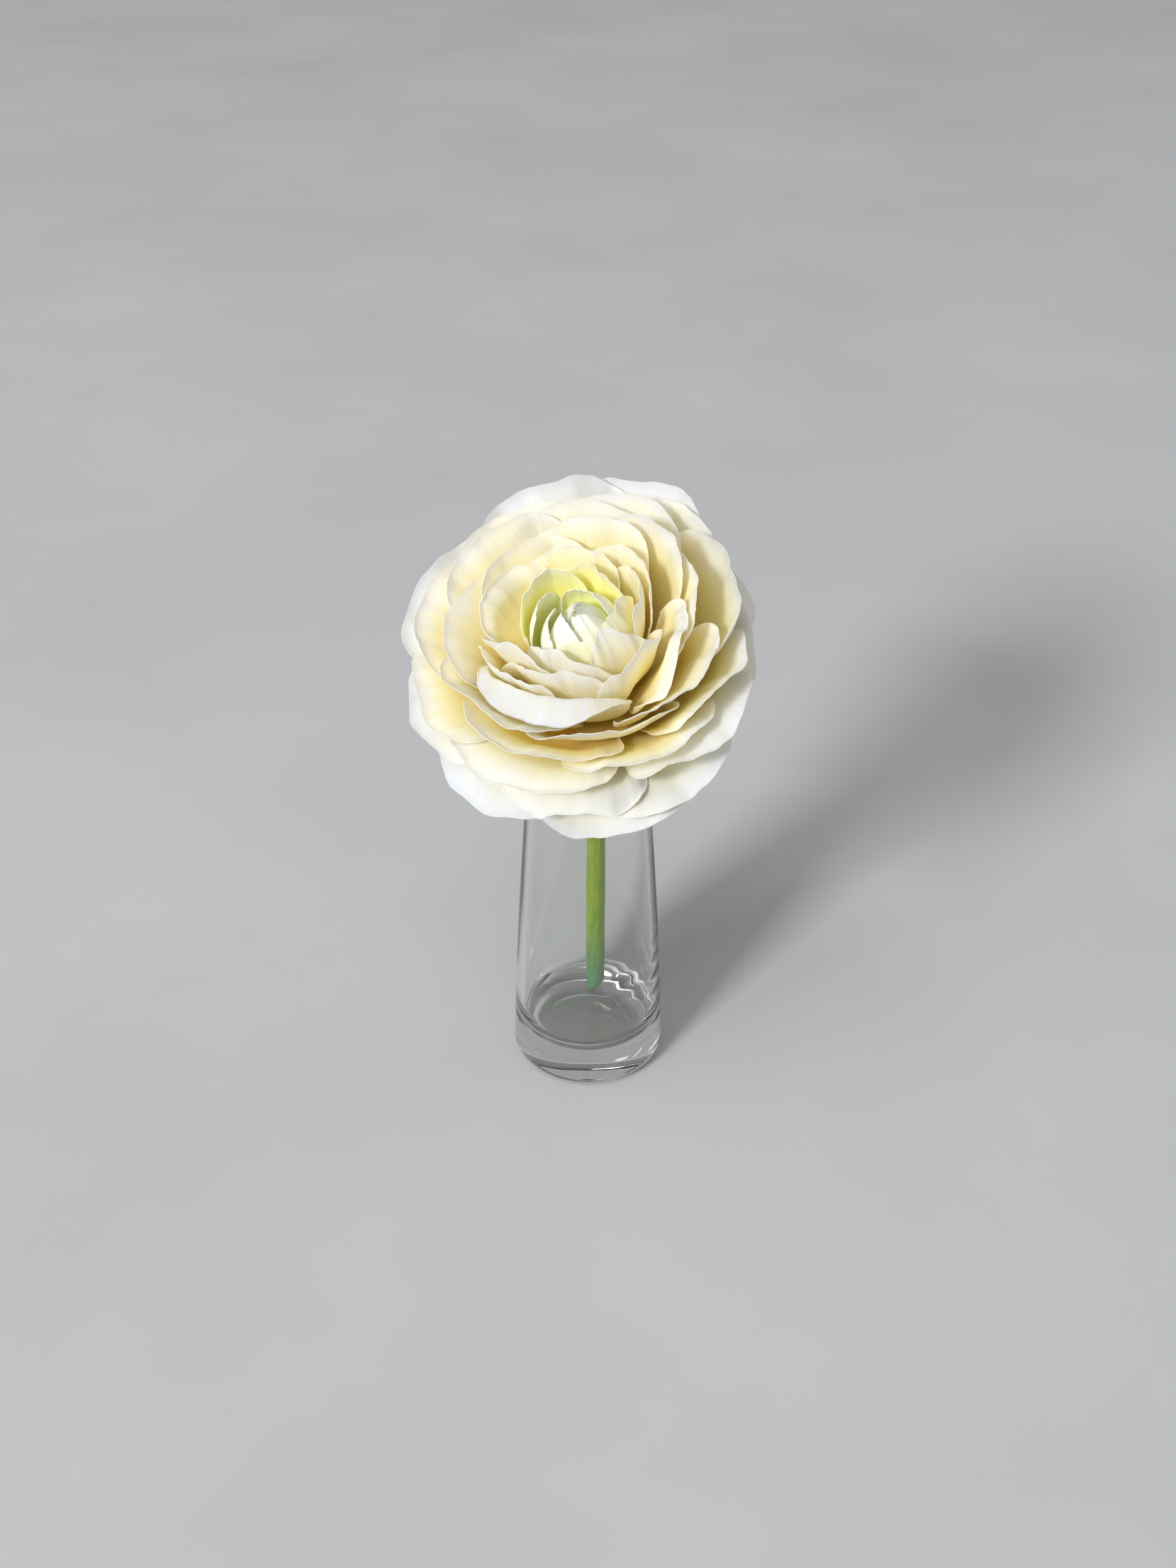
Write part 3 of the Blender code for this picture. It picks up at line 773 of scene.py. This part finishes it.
def stem_path(axis):
    """Centreline: straight up from the foot, then bending at the neck into the flower's axis."""
    top = HEAD - axis * RECEPTACLE_BELOW
    rise = (HEAD - FOOT).normalized()
    neck = HEAD - rise * NECK_LENGTH
    control = neck.lerp(top, 0.5) + (rise - axis) * (NECK_LENGTH / 8)
    path = [FOOT.lerp(neck, k / STEM_RINGS) for k in range(STEM_RINGS)]
    for k in range(NECK_RINGS + 1):
        t = k / NECK_RINGS
        path.append(neck.lerp(control, t).lerp(control.lerp(top, t), t))
    return path


def ring_round(centre, direction, radii, slant=0.0):
    """A ring of points round a centre, one for each radius, tilted by a slant for the cut foot."""
    turns = 2 * math.pi * np.arange(STEM_SIDES) / STEM_SIDES
    across = (Vector((1, 0, 0)) - direction * direction.x).normalized()
    other = direction.cross(across)
    ring = np.outer(radii * np.cos(turns), across) + np.outer(radii * np.sin(turns), other)
    return ring + np.array(centre) + np.outer(radii * np.cos(turns) * slant, direction)


def make_stem(place):
    """The cut stem and the receptacle, with slight swellings along it."""
    axis = place.to_3x3() @ Vector((0, 0, 1))
    path = stem_path(axis)
    turns = 2 * math.pi * np.arange(STEM_SIDES) / STEM_SIDES
    ridges = 1.0 + 0.018 * np.sin(5 * turns + 0.6) + 0.010 * np.sin(9 * turns)
    slope = math.tan(math.radians(CUT_ANGLE))
    rings = []
    for shrink in (0.05, 0.55, 0.86, 0.96):
        ahead = (path[1] - path[0]).normalized()
        centre = path[0] + ahead * (STEM_RADIUS * slope + 0.10 * (shrink > 0.9))
        rings.append(ring_round(centre, ahead, STEM_RADIUS * shrink * ridges, slope))
    for i in range(1, len(path)):
        ahead = (path[min(i + 1, len(path) - 1)] - path[i - 1]).normalized()
        share = i / (len(path) - 1)
        swelling = 1.0 + 0.03 * math.sin(9.0 * share + 0.5) + 0.02 * math.sin(23.0 * share)
        flare = 0.35 * float(smooth((share - 0.93) / 0.07))
        slant = slope * max(0.0, 1.0 - i / CUT_RINGS)
        centre = path[i] + ahead * (STEM_RADIUS * slant)
        rings.append(ring_round(centre, ahead, STEM_RADIUS * (swelling + flare) * ridges, slant))
    for angle in np.linspace(-52, 88, 26):
        rise = RECEPTACLE_RADIUS * math.sin(math.radians(angle))
        radius = RECEPTACLE_RADIUS * math.cos(math.radians(angle))
        bumps = 1.0 + 0.02 * np.sin(8 * turns + angle * 0.5)
        rings.append(ring_round(HEAD + axis * rise, axis, radius * bumps))
    finish_piece(mesh_object("stem_skin", *loft(rings), stem_material()), ["stem"])


# ---------------------------------------------------------------- head
# Colours from a petal's root (0) to its rim (1)
CREAM = [(0.0, (0.82, 0.60, 0.20)), (0.35, (0.89, 0.69, 0.25)), (0.62, (0.925, 0.76, 0.33)),
         (0.82, (0.945, 0.83, 0.45)), (0.93, (0.955, 0.91, 0.67)), (1.0, (0.96, 0.955, 0.91))]
PALE = [(0.0, (0.82, 0.66, 0.29)), (0.35, (0.87, 0.76, 0.42)), (0.62, (0.90, 0.82, 0.54)),
        (0.82, (0.91, 0.865, 0.68)), (0.93, (0.92, 0.90, 0.80)), (1.0, (0.93, 0.93, 0.91))]
EYE = [(0.0, (0.45, 0.38, 0.03)), (0.40, (0.68, 0.61, 0.08)), (0.70, (0.92, 0.89, 0.34)),
       (0.90, (0.96, 0.945, 0.56)), (1.0, (0.97, 0.965, 0.76))]
HEART = [(0.0, (0.50, 0.50, 0.02)), (0.40, (0.76, 0.77, 0.15)), (0.66, (0.93, 0.94, 0.47)),
         (0.86, (0.965, 0.975, 0.72)), (1.0, (0.98, 0.985, 0.90))]


def make_petals(place):
    """Every petal: laid as in the CAD, then refined and settled from the heart outwards."""
    cream = petal_material("petal_skin", CREAM, 0.7, 0.0022)
    looks = {
        "heart_petal": (petal_material("heart_petal_skin", HEART, 0.35, 0.001), "heart_petal"),
        "eye_petal": (petal_material("eye_petal_skin", EYE, 0.4, 0.0014), "eye_petal"),
        "guard_petal": (petal_material("guard_petal_skin", PALE, 0.7, 0.0022), "petal"),
    }
    petals = []
    layer = np.full((len(MAP_AZIMUTHS), len(MAP_REACHES)), -np.inf)
    for whorl, rows in PETALS.items():
        for number, row in enumerate(rows, 1):
            petal = Petal(f"{whorl}_{number:02d}", whorl, *row)
            petal.lie_over(layer)
            layer = np.maximum(layer, petal.lean_map())
            petals.append(petal)
    layer = np.full(FINE_MAP_CELLS, -np.inf)
    for number, petal in enumerate(petals):
        petal.refine(number)
        petal.settle(layer)
        material, slot = looks.get(petal.whorl, (cream, "petal"))
        finish_piece(sheet_object(petal, place, material), [petal.name])


def make_sepals(place):
    """The five sepals under the head."""
    material = sepal_material()
    for k in range(SEPAL_COUNT):
        azimuth = SEPAL_FIRST_AZIMUTH + k * 360.0 / SEPAL_COUNT
        changes = {"reach": SEPAL_REACH, "half_width": SEPAL_HALF_WIDTH, "root": SEPAL_ROOT_LEAN}
        changes.update({"belly": 0.0, "curl": 0.0, "twist": 0.0})
        sepal = Petal(f"sepal_{k + 1}", "guard_petal", azimuth, SEPAL_TIP_LEAN, changes)
        sepal.refine(SEEDS_OF_SEPALS + k)
        narrow = 1.0 - 0.45 * smooth((sepal.v - 0.45) / 0.55)
        sepal.fine[0] = azimuth + (sepal.fine[0] - azimuth) * narrow
        finish_piece(sheet_object(sepal, place, material), [sepal.name])


# ---------------------------------------------------------------- stage
CAMERA_PLACE = (0.0, -0.3828, 0.3327)
CAMERA_DOWN = 33.1
CAMERA_LENS = 42.3
AIM = Vector((0.0, -0.01, 0.10))
FLOOR_HALF = 7000.0
BOUNCES = 8
WORLD_COLOUR = (0.97, 0.98, 1.0, 1.0)
WORLD_STRENGTH = 0.35

# Each light: place in metres, watts, width, height and colour
LIGHTS = {
    "key": ((-6.66, -9.15, 6.15), 1235.0, 2.4, 2.4, (1.0, 0.985, 0.95)),
    "top": ((-0.5, -1.0, 1.8), 11.0, 1.2, 1.2, (1.0, 0.99, 0.97)),
    "strip": ((-1.4, -1.05, 0.55), 2.6, 0.05, 1.1, (1.0, 1.0, 1.0)),
}


def make_lights():
    for name, (place, watts, width, height, colour) in LIGHTS.items():
        light = bpy.data.lights.new(name, "AREA")
        light.shape, light.size, light.size_y = "RECTANGLE", width, height
        light.energy, light.color = watts, colour
        obj = bpy.data.objects.new(name, light)
        bpy.context.scene.collection.objects.link(obj)
        obj.location = place
        obj.rotation_mode = "QUATERNION"
        obj.rotation_quaternion = (AIM - obj.location).to_track_quat("-Z", "Y")


def make_camera():
    camera = bpy.data.cameras.new("camera")
    camera.sensor_fit, camera.sensor_width = "AUTO", 36.0
    camera.lens = CAMERA_LENS
    camera.clip_start = 0.02
    obj = bpy.data.objects.new("camera", camera)
    bpy.context.scene.collection.objects.link(obj)
    obj.location = CAMERA_PLACE
    obj.rotation_euler = (math.radians(90 - CAMERA_DOWN), 0.0, 0.0)
    bpy.context.scene.camera = obj


def make_stage():
    """Camera, floor, lights and world."""
    make_camera()
    half = FLOOR_HALF
    corners = [(-half, -half, 0), (half, -half, 0), (half, half, 0), (-half, half, 0)]
    mesh_object("floor", corners, [(0, 1, 2, 3)], floor_material())
    make_lights()
    scene = bpy.context.scene
    scene.cycles.diffuse_bounces = BOUNCES
    scene.world = bpy.data.worlds.new("world")
    scene.world.use_nodes = True
    background = scene.world.node_tree.nodes["Background"]
    background.inputs["Color"].default_value = WORLD_COLOUR
    background.inputs["Strength"].default_value = WORLD_STRENGTH
    scene.view_settings.view_transform = "Standard"


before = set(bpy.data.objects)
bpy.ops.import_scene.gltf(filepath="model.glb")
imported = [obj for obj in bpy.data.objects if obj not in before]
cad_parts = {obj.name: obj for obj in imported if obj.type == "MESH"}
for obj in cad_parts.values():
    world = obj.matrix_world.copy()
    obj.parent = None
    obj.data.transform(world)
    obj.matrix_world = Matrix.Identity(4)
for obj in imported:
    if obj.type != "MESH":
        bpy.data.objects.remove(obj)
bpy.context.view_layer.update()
make_stage()
head = head_matrix()
make_vase()
make_stem(head)
make_petals(head)
make_sepals(head)
